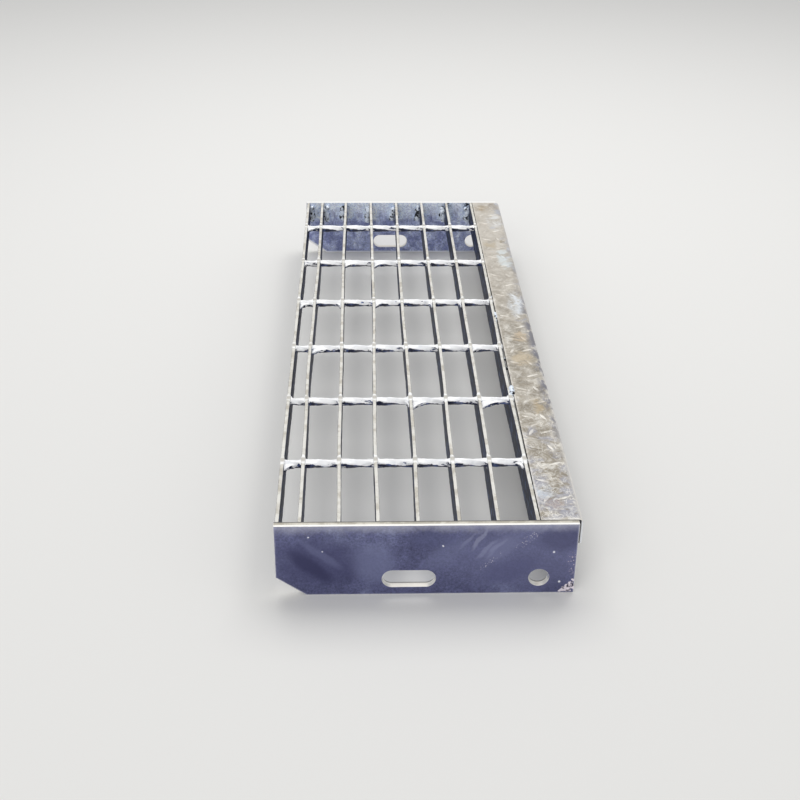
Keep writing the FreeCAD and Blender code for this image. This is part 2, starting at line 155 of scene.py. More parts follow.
def lumps(piece, grain, depth):
    """Give a piece the uneven thickness of dipped zinc: lumps as wide as grain and depth from low to high."""
    cloud = bpy.data.textures.new("zinc_lumps", "CLOUDS")
    cloud.noise_scale = grain
    cloud.noise_depth = 2
    shape(piece, "DISPLACE", texture=cloud, texture_coords="LOCAL", strength=depth, mid_level=0.5)


def weigh(piece, name, weight):
    """A vertex group whose weight is worked out from each corner's place."""
    group = piece.vertex_groups.new(name=name)
    for corner in piece.data.vertices:
        group.add([corner.index], weight(corner.co), "REPLACE")


def join(pieces, name):
    """One object of several, under a name."""
    put_down()
    for piece in pieces:
        piece.select_set(True)
    bpy.context.view_layer.objects.active = pieces[0]
    bpy.ops.object.join()
    joined = bpy.context.object
    joined.name = name
    return joined


def divided_sheet(name, middle, width, length, across, along):
    """A flat sheet of so many cells across and along."""
    put_down()
    bpy.ops.mesh.primitive_grid_add(x_subdivisions=across, y_subdivisions=along, size=1)
    sheet = bpy.context.object
    sheet.name = name
    bpy.ops.transform.resize(value=(width, length, 1))
    bpy.ops.transform.translate(value=middle)
    bpy.ops.object.transform_apply(location=True, rotation=True, scale=True)
    return sheet


def divided_block(name, low, high, across, along):
    """A block from low to high, divided so that it can be bent, twisted and skinned."""
    size = high - low
    foot = ((low.x + high.x) / 2, (low.y + high.y) / 2, low.z)
    block = divided_sheet(name, foot, size.x, size.y, across, along)
    edit(block)
    bpy.ops.mesh.extrude_region_move(TRANSFORM_OT_translate={"value": (0, 0, size.z)})
    face_out()
    put_down()
    return block


def placed_copy(piece, name, moved):
    """A copy of a piece, moved by a matrix."""
    copy = bpy.data.objects.new(name, piece.data.copy())
    bpy.context.scene.collection.objects.link(copy)
    copy.data.transform(moved)
    return copy


def merged_copy(node, name):
    """A piece of the frame as one closed skin, with its flat faces cleared of inner edges."""
    copy = placed_copy(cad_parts[node], name, Matrix())
    copy.data.materials.clear()
    take(copy)
    bpy.ops.mesh.customdata_custom_splitnormals_clear()
    edit(copy)
    bpy.ops.mesh.remove_doubles(threshold=WELD_SEAMS_WITHIN)
    bpy.ops.mesh.dissolve_limited(angle_limit=FLAT_WITHIN)
    put_down()
    return copy


def lump_run(start, end, radius, count, wander):
    """A run of overlapping lumps from start to end, as a bead of weld or a drip of zinc is laid down."""
    run = []
    for number in range(count):
        place = start.lerp(end, number / max(1, count - 1))
        place += Vector([random.uniform(-wander, wander) for _ in range(3)])
        put_down()
        size = radius * random.uniform(*LUMP_SIZES)
        bpy.ops.mesh.primitive_ico_sphere_add(subdivisions=2, radius=size, location=place)
        run.append(bpy.context.object)
    return run


def melt(pieces, name, voxel, smoothings, grain, depth):
    """Lumps run together into one skin with an uneven surface."""
    mass = join(pieces, name)
    take(mass)
    bpy.ops.object.transform_apply(location=True, rotation=True, scale=True)
    shape(mass, "REMESH", mode="VOXEL", voxel_size=voxel)
    shape(mass, "SMOOTH", factor=0.5, iterations=smoothings)
    lumps(mass, grain, depth)
    return mass


def dress(piece, material, slot, *nodes):
    """Finish a piece: its material, its slot in the record (not used), and the frame's pieces that it stands
    for.
    """
    piece.data.materials.clear()
    piece.data.materials.append(material)
    take(piece)
    bpy.ops.object.shade_smooth_by_angle(angle=SHARP_FROM)
    shape(piece, "WEIGHTED_NORMAL", mode="FACE_AREA", weight=90, keep_sharp=True)
    if nodes:
        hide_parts(*nodes)
    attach(piece, "root")


# Materials
FACTOR, FIRST, SECOND, MIXED = 0, 6, 7, 2
SOFT = {"interpolation_type": "SMOOTHSTEP"}
RELIEF = 0.6


def linear(code):
    """An sRGB hex colour as linear red, green, blue and alpha."""
    channels = [int(code[at:at + 2], 16) / 255 for at in (1, 3, 5)]
    return [c / 12.92 if c <= 0.04045 else ((c + 0.055) / 1.055) ** 2.4 for c in channels] + [1]


def add_node(tree, kind, inputs, **settings):
    """Add a node with its settings. Each input is a plain value, an output, or a node's first output."""
    made = tree.nodes.new("ShaderNode" + kind)
    for name, value in settings.items():
        setattr(made, name, value)
    for socket, value in inputs.items():
        if isinstance(value, bpy.types.Node):
            value = value.outputs[0]
        if isinstance(value, bpy.types.NodeSocket):
            tree.links.new(value, made.inputs[socket])
        else:
            made.inputs[socket].default_value = value
    return made


def paint(add, colour, layers):
    """A colour with others laid over it in turn, each as strongly as its mask says."""
    for mask, over in layers:
        tint = linear(over) if isinstance(over, str) else over
        colour = add("Mix", {FACTOR: mask, FIRST: colour, SECOND: tint}, data_type="RGBA").outputs[MIXED]
    return colour


def patch(add, place, centre, half_size, tilt=0):
    """1 in the middle of an elliptical patch, 0 outside it, turned about Y by tilt in degrees."""
    local = add("Mapping", {
        "Vector": place, "Location": [c * MM for c in centre], "Rotation": (0, math.radians(-tilt), 0),
        "Scale": [h * MM for h in half_size]}, vector_type="TEXTURE")
    return add("TexGradient", {"Vector": local}, gradient_type="SPHERICAL").outputs["Fac"]


def start_zinc(name):
    """A new material, the means to add nodes to it, its object place and the way its surface faces."""
    material = bpy.data.materials.new(name)
    material.use_nodes = True
    material.node_tree.nodes.clear()
    add = functools.partial(add_node, material.node_tree)
    seen = add("TexCoord", {})
    facing = add("SeparateXYZ", {"Vector": seen.outputs["Normal"]})
    return material, add, seen.outputs["Object"], facing


def end_zinc(add, colour, roughness, height, depth, metallic, gloss=0.5):
    """The zinc's shader: colour and roughness from their patterns, relief from height."""
    relief = add("Bump", {"Height": height, "Strength": RELIEF, "Distance": depth})
    surface = add("BsdfPrincipled", {
        "Base Color": colour, "Roughness": roughness, "Metallic": metallic, "Specular IOR Level": gloss,
        "Normal": relief})
    add("OutputMaterial", {"Surface": surface})


# Hot-dip zinc on hot-rolled plate, dulled by weather: slate violet with soft clouds outside as painted shade,
# paler and bluer with large crystals and weld spatter inside as painted light and sky reflection, rims of
# thick zinc painted bright as highlights, and cream upward faces and cut walls, painted light from above with
# some dust on the tops
def plate_zinc():
    material, add, place, facing = start_zinc("weathered_plate_zinc_painted_light")
    x, y, z = add("SeparateXYZ", {"Vector": place}).outputs
    cloud = add("TexNoise", {"Vector": place, "Scale": 1 / (38 * MM), "Detail": 5, "Roughness": 0.62})
    mottle = add("TexNoise", {"Vector": place, "Scale": 1 / (13 * MM), "Detail": 5, "Roughness": 0.72,
                              "Distortion": 0.35})
    grain = add("TexNoise", {"Vector": place, "Scale": 1 / (1.6 * MM), "Detail": 2, "Roughness": 0.7})
    crystal = add("TexVoronoi", {"Vector": place, "Scale": 1 / (6 * MM)})
    low = add("MapRange", {"Value": cloud, "From Min": 0.3, "From Max": 0.52}, **SOFT)
    high = add("MapRange", {"Value": cloud, "From Min": 0.5, "From Max": 0.72}, **SOFT)
    # Inner faces: a paler, bluer copy of the outer zinc, painted light with painted sky reflection; streaked
    # downwards under the upper edge, splashed and pitted beside every bar
    depth = add("Math", {0: y}, operation="ABSOLUTE")
    inside = add("MapRange", {"Value": depth, "From Min": 334 * MM, "From Max": 331 * MM})
    paler, palest, white, pitted = [
        add("MapRange", {"Value": mottle, "From Min": start, "From Max": end})
        for start, end in ((0.42, 0.54), (0.56, 0.68), (0.46, 0.51), (0.42, 0.37))]
    raised = add("MapRange", {"Value": z, "From Min": 40 * MM, "From Max": 46 * MM})
    drawn = add("Mapping", {"Vector": place, "Scale": (1, 1, 0.3)})
    drawn = add("TexNoise", {"Vector": drawn, "Scale": 1 / (5 * MM), "Detail": 3, "Roughness": 0.65})
    streak = add("MapRange", {"Value": drawn, "From Min": 0.44, "From Max": 0.6, "To Max": 0.9})
    # Painted light: the inner faces painted paler towards the upper edge
    brim = add("MapRange", {"Value": z, "From Min": 46 * MM, "From Max": 62 * MM, "To Max": 0.95})
    beside = add("Math", {0: x, 1: -BAR_PLACES[1]}, operation="ADD")
    beside = add("Math", {0: beside, 1: (BAR_PLACES[2] - BAR_PLACES[1]) / 2}, operation="PINGPONG")
    # Pale blue-white weld spatter beside every bar, its blue painted sky reflection
    skirt = add("MapRange", {"Value": beside, "From Min": 13 * MM, "From Max": 5 * MM, "To Max": 0.6})
    splash = add("MapRange", {"Value": beside, "From Min": 10 * MM, "From Max": 4 * MM})
    halo = add("Math", {0: splash, 1: white}, operation="MULTIPLY")
    # Near-black beside every bar: partly pits, partly painted shadow in the corner at the bar
    pit = add("Math", {0: splash, 1: pitted}, operation="MULTIPLY")
    # The outer faces' slate violet: the plate's zinc painted as in shade
    colour = paint(add, linear("#4C4E70"), ((low, "#5C5F83"), (high, "#757A9C")))
    # The inner faces' pale blue: the same zinc painted as lit, its blue painted sky reflection
    inner = paint(add, linear("#7F87B4"), ((paler, "#AEB7DA"), (palest, "#E6EDFB")))
    welded = paint(add, inner, (
        (brim, "#ECF2FF"), (streak, "#DDE6FA"), (skirt, "#CDE1FD"), (halo, "#EEF5FF"), (pit, "#10131F")))
    inner = paint(add, inner, [(raised, welded)])
    colour = paint(add, colour, [(inside, inner)])
    flecks = add("MapRange", {"Value": grain, "From Min": 0.3, "From Max": 0.75,
                              "To Min": 0.7, "To Max": 1.45})
    crystals = add("MapRange", {"Value": crystal.outputs["Color"], "To Min": 0.94, "To Max": 1.07})
    shade = add("Math", {0: flecks, 1: crystals}, operation="MULTIPLY")
    colour = add("Mix", {FACTOR: 1.0, FIRST: colour, SECOND: shade},
                 data_type="RGBA", blend_type="MULTIPLY").outputs[MIXED]
    # Marks on the left plate, their outlines made to wander
    wobble = add("TexNoise", {"Vector": place, "Scale": 1 / (11 * MM), "Detail": 3})
    wobble = add("VectorMath", {0: wobble.outputs["Color"], 1: (0.5, 0.5, 0.5)}, operation="SUBTRACT")
    wander = add("VectorMath", {0: wobble, 1: (5 * MM, 0, 5 * MM), 2: place}, operation="MULTIPLY_ADD")
    dots = add("TexVoronoi", {"Vector": place, "Scale": 1 / (1.5 * MM)})
    dot = add("MapRange", {"Value": dots.outputs["Distance"], "From Min": 0.4, "From Max": 0.22})
    kept = add("MapRange", {"Value": dots.outputs["Color"], "From Min": 0.4, "From Max": 0.6})
    dot = add("Math", {0: dot, 1: kept}, operation="MULTIPLY")
    for (across, high_up), (half_width, half_height), tilt, tint, strength, dotted in LEFT_MARKS:
        mask = patch(add, wander, (across, -PLATE_OUTER / MM, high_up),
                     (half_width, MARK_DEPTH, half_height), tilt)
        mask = add("MapRange", {"Value": mask, "From Max": 0.6, "To Max": strength}, **SOFT)
        if dotted:
            mask = add("Math", {0: mask, 1: dot}, operation="MULTIPLY")
        colour = paint(add, colour, [(mask, tint)])
    # Bright pin-points of zinc
    pins = add("TexVoronoi", {"Vector": place, "Scale": 1 / (3.4 * MM)})
    pin = add("Math", {0: pins.outputs["Color"], 1: 0.2, 2: pins.outputs["Distance"]},
              operation="MULTIPLY_ADD")
    pin = add("MapRange", {"Value": pin, "From Min": 0.13, "From Max": 0.06})
    # Painted sheen in a pale band under the upper edge, the upward faces painted cream with a painted shadow
    # line at the bars, and painted highlights on the rims
    ragged = add("MapRange", {"Value": mottle, "To Min": -6 * MM, "To Max": 6 * MM})
    ragged = add("Math", {0: z, 1: ragged}, operation="ADD")
    band = add("MapRange", {"Value": ragged, "From Min": 55 * MM, "From Max": 68 * MM,
                            "To Max": 0.6}, **SOFT)
    band = add("Math", {0: band, 1: inside}, operation="SUBTRACT")
    # The upward faces painted cream, paler in patches: partly dust, partly painted light from above
    upper = add("MapRange", {"Value": facing.outputs["Z"], "From Min": 0.35, "From Max": 0.8})
    bright = add("MapRange", {"Value": mottle, "From Min": 0.45, "From Max": 0.6})
    bright = add("Math", {0: bright, 1: upper}, operation="MULTIPLY")
    # A painted shadow line on the left plate's upward face along its inner edge, where it meets the bars
    back = add("MapRange", {"Value": depth, "From Min": 330.8 * MM, "From Max": 329.8 * MM, "To Max": 0.85})
    right = add("MapRange", {"Value": y, "From Min": -1 * MM, "From Max": 1 * MM})
    back = add("Math", {0: back, 1: right}, operation="SUBTRACT")
    back = add("Math", {0: back, 1: upper}, operation="MULTIPLY")
    # The right plate's upward faces painted near white as painted light
    whitened = add("Math", {0: right, 1: upper}, operation="MULTIPLY")
    # A painted highlight along the outer edge of the upward faces
    front = add("MapRange", {"Value": depth, "From Min": 332.4 * MM, "From Max": 333.4 * MM})
    front = add("Math", {0: front, 1: upper}, operation="MULTIPLY")
    # Upward faces low on the plate, the lower walls of its openings, painted cream-white as painted light
    wall = add("MapRange", {"Value": z, "From Min": 40 * MM, "From Max": 38 * MM})
    wall = add("Math", {0: wall, 1: upper}, operation="MULTIPLY")
    # The rounded edges, where the surface turns between the axes, painted near white as painted highlights
    away = [add("Math", {0: facing.outputs[axis]}, operation="ABSOLUTE") for axis in "XYZ"]
    square = add("Math", {0: away[0], 1: away[1]}, operation="MAXIMUM")
    square = add("Math", {0: square, 1: away[2]}, operation="MAXIMUM")
    edge = add("MapRange", {"Value": square, "From Min": 0.998, "From Max": 0.94})
    # A thin pale line round the outline, measured in from the ends, the foot and the cut-off corner: thick
    # zinc painted brighter as a highlight, whitest on the inner faces
    inward = add("VectorMath", {0: place, 1: CORNER_CUT_INWARD}, operation="DOT_PRODUCT")
    inward = add("Math", {0: inward.outputs["Value"], 1: CORNER_CUT_OFFSET}, operation="SUBTRACT")
    from_back = add("Math", {0: x, 1: PLATE_BACK}, operation="SUBTRACT")
    from_front = add("Math", {0: PLATE_FRONT, 1: x}, operation="SUBTRACT")
    for distance in (from_back, from_front, z):
        inward = add("Math", {0: inward, 1: distance}, operation="MINIMUM")
    uneven = add("MapRange", {"Value": mottle, "To Min": -0.8 * MM, "To Max": 0.8 * MM})
    inward = add("Math", {0: inward, 1: uneven}, operation="ADD")
    outline = add("MapRange", {"Value": inward, "From Min": 1.3 * MM, "From Max": 0.6 * MM, "To Max": 0.5})
    rim = add("MapRange", {"Value": inward, "From Min": 2.6 * MM, "From Max": 1.2 * MM})
    rim = add("Math", {0: rim, 1: inside}, operation="MULTIPLY")
    colour = paint(add, colour, (
        (pin, "#B4B6CE"), (band, "#C9CBDA"), (outline, "#B3B5C9"), (rim, "#F0F2F8"), (upper, "#ADA799"),
        (bright, "#CFCABD"), (front, "#EEECE7"), (whitened, "#F7F6F3"), (wall, "#F3EEE5"), (edge, "#F1EFEA"),
        (back, "#3E3B3A")))
    roughness = add("MapRange", {"Value": cloud, "To Min": 0.34, "To Max": 0.56})
    height = add("Math", {0: grain, 1: crystal.outputs["Distance"]}, operation="ADD")
    metal = add("MapRange", {"Value": inside, "To Min": 0.45, "To Max": 0.1})
    end_zinc(add, colour, roughness, height, 0.12 * MM, metal)
    return material


# Hot-dip zinc on rolled bar: upper edges a warm cream, partly rubbed and partly painted light from above,
# sides a deep slate blue with pale flecks, painted shade and painted reflection, white zinc round every
# crossing with a grey-beige spot where the rod is forged through
def bar_zinc():
    material, add, place, facing = start_zinc("galvanised_bar_zinc")
    _, y, z = add("SeparateXYZ", {"Vector": place}).outputs
    cloud = add("TexNoise", {"Vector": place, "Scale": 1 / (14 * MM), "Detail": 4, "Roughness": 0.65})
    grain = add("TexNoise", {"Vector": place, "Scale": 1 / (1.8 * MM), "Detail": 2, "Roughness": 0.7})
    streak = add("Mapping", {"Vector": place, "Scale": (1, 0.25, 1)})
    streak = add("TexNoise", {"Vector": streak, "Scale": 1 / (4 * MM), "Detail": 3})
    mixed = add("MapRange", {"Value": cloud, "From Min": 0.42, "From Max": 0.68}, **SOFT)
    fleck = add("MapRange", {"Value": streak, "From Min": 0.52, "From Max": 0.72, "To Max": 0.55})
    # The upward faces painted warm cream: partly wear, partly painted light from above
    upper = add("MapRange", {"Value": facing.outputs["Z"], "From Min": 0.45, "From Max": 0.85}, **SOFT)
    worn = add("Math", {0: upper, 1: mixed}, operation="MULTIPLY")
    # The crossings come every rod pitch along the bar
    along = add("Math", {0: y, 1: -ROD_PLACES[0]}, operation="ADD")
    along = add("Math", {0: along, 1: (ROD_PLACES[1] - ROD_PLACES[0]) / 2}, operation="PINGPONG")
    below = add("Math", {0: TREAD_TOP, 1: z}, operation="SUBTRACT")
    away = add("Math", {0: along, 1: along}, operation="MULTIPLY")
    away = add("Math", {0: below, 1: below, 2: away}, operation="MULTIPLY_ADD")
    away = add("Math", {0: away}, operation="SQRT")
    ragged = add("MapRange", {"Value": streak, "From Min": 0.3, "From Max": 0.7,
                              "To Min": -3 * MM, "To Max": 3 * MM})
    away = add("Math", {0: away, 1: ragged}, operation="ADD")
    whitened = add("MapRange", {"Value": away, "From Min": 6.5 * MM, "From Max": 4.5 * MM})
    spot = add("MapRange", {"Value": along, "From Min": 4.5 * MM, "From Max": 1.5 * MM, "To Max": 0.7})
    spot = add("Math", {0: spot, 1: upper}, operation="MULTIPLY")
    # The sides' deep slate blue with pale blue flecks: painted shade and painted reflection
    colour = paint(add, linear("#1A2034"), (
        (mixed, "#353E5A"), (fleck, "#7186B8"), (upper, "#E2E0D9"), (worn, "#C0BBAF"), (whitened, "#FAFAF8"),
        (spot, "#A8A194")))
    roughness = add("MapRange", {"Value": cloud, "To Min": 0.4, "To Max": 0.6})
    end_zinc(add, colour, roughness, grain, 0.15 * MM, 0.1, 0.2)
    return material


# Thick fresh zinc on the twisted rods: white where it faces up or out, with blue-black streaks under the
# turns that are painted shade and painted dark reflection
def rod_zinc():
    material, add, place, facing = start_zinc("thick_bright_zinc")
    cloud = add("TexNoise", {"Vector": place, "Scale": 1 / (6 * MM), "Detail": 4, "Roughness": 0.6})
    grain = add("TexNoise", {"Vector": place, "Scale": 1 / (1.5 * MM), "Detail": 2, "Roughness": 0.6})
    shaded = add("MapRange", {"Value": cloud, "From Min": 0.5, "From Max": 0.7})
    drawn = add("Mapping", {"Vector": place, "Scale": (0.35, 1, 1)})
    drawn = add("TexNoise", {"Vector": drawn, "Scale": 1 / (3 * MM), "Detail": 3, "Roughness": 0.65})
    wander = add("MapRange", {"Value": drawn, "From Min": 0.3, "From Max": 0.7,
                              "To Min": -0.6, "To Max": 0.6})
    # Painted shade and dark reflection: blue-black where the faces turn down, a softer blue in the clouded
    # parts
    turned = add("Math", {0: facing.outputs["Z"], 1: wander}, operation="ADD")
    under = add("MapRange", {"Value": turned, "From Min": 0.22, "From Max": 0.0}, **SOFT)
    soft = add("Math", {0: under, 1: shaded}, operation="MULTIPLY")
    colour = paint(add, linear("#FFFFFF"), ((shaded, "#F5F7FA"), (under, "#141C40"), (soft, "#6C7FB8")))
    roughness = add("MapRange", {"Value": cloud, "To Min": 0.24, "To Max": 0.42})
    end_zinc(add, colour, roughness, grain, 0.2 * MM, 0.05)
    return material


# Rolled checker plate, galvanised and walked on: warm beige-grey with bluish crystal patches towards the
# front and the left end, fine pale wrinkles, pale ridges partly rubbed and partly painted highlight, a front
# bend painted bright as a highlight, small brown stains, and painted shade on the cut edge and the end faces
def nosing_zinc():
    material, add, place, facing = start_zinc("galvanised_checker_plate")
    x, y, z = add("SeparateXYZ", {"Vector": place}).outputs
    cloud = add("TexNoise", {"Vector": place, "Scale": 1 / (22 * MM), "Detail": 5, "Roughness": 0.65})
    blotch = add("TexNoise", {"Vector": place, "Scale": 1 / (13 * MM), "Detail": 5, "Roughness": 0.66,
                              "Distortion": 0.7})
    grain = add("TexNoise", {"Vector": place, "Scale": 1 / (1.7 * MM), "Detail": 2, "Roughness": 0.7})
    warm = add("MapRange", {"Value": cloud, "From Min": 0.35, "From Max": 0.65}, **SOFT)
    light = add("MapRange", {"Value": blotch, "From Min": 0.48, "From Max": 0.66, "To Max": 0.8})
    dim = add("MapRange", {"Value": blotch, "From Min": 0.46, "From Max": 0.32, "To Max": 0.8})
    far = add("MapRange", {"Value": y, "From Min": -40 * MM, "From Max": 200 * MM, "To Max": 0.6})
    # Bluish crystal patches, thickest at the left end and along the front
    left = add("MapRange", {"Value": y, "From Min": -100 * MM, "From Max": -300 * MM})
    front = add("MapRange", {"Value": x, "From Min": 102 * MM, "From Max": 118 * MM, "To Max": 0.8})
    cool = add("Math", {0: left, 1: front}, operation="MAXIMUM")
    cool = add("MapRange", {"Value": cool, "To Min": 0.6, "To Max": 0.38})
    cool = add("Math", {0: cloud, 1: cool}, operation="SUBTRACT")
    cool = add("MapRange", {"Value": cool, "From Max": 0.16, "To Max": 0.75}, **SOFT)
    frosted = add("Math", {0: cool, 1: far}, operation="MULTIPLY")
    # Wrinkles of zinc: thin pale lines that follow the level lines of a wandering pattern
    folds = add("TexNoise", {"Vector": place, "Scale": 1 / (17 * MM), "Detail": 3, "Roughness": 0.6,
                             "Distortion": 1.2})
    folds = add("Math", {0: folds, 1: 0.5}, operation="SUBTRACT")
    folds = add("Math", {0: folds}, operation="ABSOLUTE")
    wrinkle = add("MapRange", {"Value": folds, "From Min": 0.026, "From Max": 0.006})
    rubbed = add("MapRange", {"Value": y, "From Min": 200 * MM, "From Max": -280 * MM,
                              "To Min": 0.2, "To Max": 0.75})
    wrinkle = add("Math", {0: wrinkle, 1: rubbed}, operation="MULTIPLY")
    broken = add("MapRange", {"Value": blotch, "From Min": 0.4, "From Max": 0.56})
    wrinkle = add("Math", {0: wrinkle, 1: broken}, operation="MULTIPLY")
    # Finer crazing of pale and dark lines at the left end
    crazing = add("TexNoise", {"Vector": place, "Scale": 1 / (10 * MM), "Detail": 3, "Roughness": 0.6,
                               "Distortion": 1.2})
    crazing = add("Math", {0: crazing, 1: 0.5}, operation="SUBTRACT")
    crazed = add("MapRange", {"Value": y, "From Min": -120 * MM, "From Max": -310 * MM,
                              "To Min": 0.25, "To Max": 0.75})
    dark_line = add("MapRange", {"Value": crazing, "From Min": -0.07, "From Max": -0.14})
    dark_line = add("Math", {0: dark_line, 1: crazed}, operation="MULTIPLY")
    pale_line = add("Math", {0: crazing}, operation="ABSOLUTE")
    pale_line = add("MapRange", {"Value": pale_line, "From Min": 0.03, "From Max": 0.008})
    pale_line = add("Math", {0: pale_line, 1: crazed}, operation="MULTIPLY")
    # Ridges painted pale, partly rubbed and partly painted highlight on the crests: on the top above the
    # sheet, on the flange before it
    over = add("MapRange", {"Value": z, "From Min": 65.15 * MM, "From Max": 65.28 * MM})
    before = add("MapRange", {"Value": x, "From Min": 116.45 * MM, "From Max": 116.65 * MM})
    ridge = add("Math", {0: over, 1: before}, operation="MAXIMUM")
    patchy = add("MapRange", {"Value": cloud, "From Min": 0.4, "From Max": 0.58,
                              "To Min": 0.25, "To Max": 0.95})
    across = add("MapRange", {"Value": x, "From Min": 94 * MM, "From Max": 102 * MM,
                              "To Min": 0.6, "To Max": 1.0})
    fainter = add("MapRange", {"Value": y, "From Min": -60 * MM, "From Max": 120 * MM,
                               "To Min": 1.0, "To Max": 0.6})
    for limit in (across, fainter):
        patchy = add("Math", {0: patchy, 1: limit}, operation="MULTIPLY")
    ridge = add("Math", {0: ridge, 1: patchy}, operation="MULTIPLY")
    # Small brown stains
    stain = add("TexNoise", {"Vector": place, "Scale": 1 / (11 * MM), "Detail": 5, "Roughness": 0.75})
    stain = add("MapRange", {"Value": stain, "From Min": 0.63, "From Max": 0.74, "To Max": 0.5}, **SOFT)
    colour = paint(add, linear("#978F82"), (
        (warm, "#B1A99B"), (light, "#D3CEC4"), (dim, "#7C7466"), (far, "#D7D0C5"), (cool, "#9A9CAA"),
        (frosted, "#E2E7ED"), (stain, "#7C6852"), (dark_line, "#857C6A"), (pale_line, "#D3D1CB"),
        (wrinkle, "#EAE6DD"), (ridge, "#F1EDE4")))
    wobble = add("TexNoise", {"Vector": place, "Scale": 1 / (10 * MM), "Detail": 4, "Roughness": 0.7})
    wobble = add("VectorMath", {0: wobble.outputs["Color"], 1: (0.5, 0.5, 0.5)}, operation="SUBTRACT")
    wander = add("VectorMath", {0: wobble, 1: (12 * MM, 28 * MM, 0), 2: place}, operation="MULTIPLY_ADD")
    for (place_x, place_y), (half_width, half_length), tint in NOSING_STAINS:
        mask = patch(add, wander, (place_x, place_y, TREAD_TOP / MM), (half_width, half_length, STAIN_DEPTH))
        mask = add("MapRange", {"Value": mask, "From Max": 0.5, "To Max": 0.65}, **SOFT)
        mask = add("Math", {0: mask, 1: broken}, operation="MULTIPLY")
        colour = paint(add, colour, [(mask, tint)])
    # Painted shade on the cut edge along the bars and on the end faces at the plates, dull violet patches
    # along the front bend, and painted highlights on the bend, the lips and the flange's end faces
    # The rear cut edge, facing the gap at the bars, painted near-black as painted shade
    cut = add("MapRange", {"Value": facing.outputs["X"], "From Min": -0.4, "From Max": -0.8})
    bend = add("MapRange", {"Value": x, "From Min": 106.5 * MM, "From Max": 112.5 * MM})
    above = add("MapRange", {"Value": z, "From Min": 58 * MM, "From Max": 62 * MM})
    trodden = add("MapRange", {"Value": y, "From Min": -260 * MM, "From Max": -160 * MM})
    # Dull violet patches along the upper part of the front bend, none at the near end, fading towards the far
    # end
    drawn = add("Mapping", {"Vector": place, "Scale": (1, 0.5, 1)})
    drawn = add("TexNoise", {"Vector": drawn, "Scale": 1 / (9 * MM), "Detail": 4, "Roughness": 0.7})
    dull_patches = add("MapRange", {"Value": drawn, "From Min": 0.53, "From Max": 0.44, "To Max": 0.85})
    fading = add("MapRange", {"Value": y, "From Min": 0, "From Max": 90 * MM, "To Min": 1, "To Max": 0.3})
    for limit in (bend, above, trodden, fading):
        dull_patches = add("Math", {0: dull_patches, 1: limit}, operation="MULTIPLY")
    # The front bend where it turns forward, painted near white as a painted highlight, stronger towards the
    # near end
    brow = add("MapRange", {"Value": facing.outputs["X"], "From Min": 0.1, "From Max": 0.75})
    nearer_end = add("MapRange", {"Value": y, "From Min": 60 * MM, "From Max": -140 * MM,
                                "To Min": 0.3, "To Max": 0.9})
    for limit in (above, nearer_end):
        brow = add("Math", {0: brow, 1: limit}, operation="MULTIPLY")
    reach = add("Math", {0: y}, operation="ABSOLUTE")
    # Painted highlights: pale lips along the ends at the plates and along the rear brink
    lip = add("MapRange", {"Value": reach, "From Min": 325.5 * MM, "From Max": 328 * MM})
    brink = add("MapRange", {"Value": x, "From Min": 86 * MM, "From Max": 84.8 * MM, "To Max": 0.8})
    lip = add("Math", {0: lip, 1: brink}, operation="MAXIMUM")
    lip = add("Math", {0: lip, 1: patchy}, operation="MULTIPLY")
    # The end faces at the plates, painted near-black as painted shade in the narrow gap
    end = add("Math", {0: facing.outputs["Y"]}, operation="ABSOLUTE")
    end = add("MapRange", {"Value": end, "From Min": 0.5, "From Max": 0.8})
    tip = add("MapRange", {"Value": reach, "From Min": 328 * MM, "From Max": 328.5 * MM})
    end = add("Math", {0: end, 1: tip}, operation="MULTIPLY")
    # The end faces' front part, on the flange, painted near white as a painted highlight
    outer = add("MapRange", {"Value": x, "From Min": 114.5 * MM, "From Max": 115.3 * MM})
    outer = add("Math", {0: outer, 1: end}, operation="MULTIPLY")
    colour = paint(add, colour, (
        (brow, "#F3F0E9"), (dull_patches, "#75757F"), (lip, "#EFEBE2"), (cut, "#1B1A1C"), (end, "#23212C"),
        (outer, "#EEF0F3")))
    roughness = add("MapRange", {"Value": blotch, "To Min": 0.36, "To Max": 0.62})
    end_zinc(add, colour, roughness, grain, 0.15 * MM, 0.35)
    return material


# Weld metal under zinc: bluish white lumps, partly painted highlight with painted sky reflection in the blue,
# and near-black patches that are pits and painted shadow
def weld_zinc():
    material, add, place, _ = start_zinc("galvanised_weld_zinc")
    cloud = add("TexNoise", {"Vector": place, "Scale": 1 / (5 * MM), "Detail": 3, "Roughness": 0.6})
    # Bluish white where the cloud is high, near-black elsewhere: the near-black is pits and painted shadow
    pits = add("MapRange", {"Value": cloud, "From Min": 0.43, "From Max": 0.47}, **SOFT)
    colour = paint(add, linear("#0A0E18"), [(pits, "#EAF3FF")])
    roughness = add("MapRange", {"Value": cloud, "To Min": 0.5, "To Max": 0.2})
    end_zinc(add, colour, roughness, cloud, 0.4 * MM, 0.05)
    return material


# Dross: a pinkish white crust of spent zinc with dark pits
def dross_zinc():
    material, add, place, _ = start_zinc("zinc_dross")
    cloud = add("TexNoise", {"Vector": place, "Scale": 1 / (2.4 * MM), "Detail": 3, "Roughness": 0.7})
    pits = add("MapRange", {"Value": cloud, "From Min": 0.4, "From Max": 0.48})
    colour = paint(add, linear("#343044"), [(pits, "#E8DFE8")])
    roughness = add("MapRange", {"Value": cloud, "To Min": 0.7, "To Max": 0.45})
    end_zinc(add, colour, roughness, cloud, 0.5 * MM, 0.3)
    return material


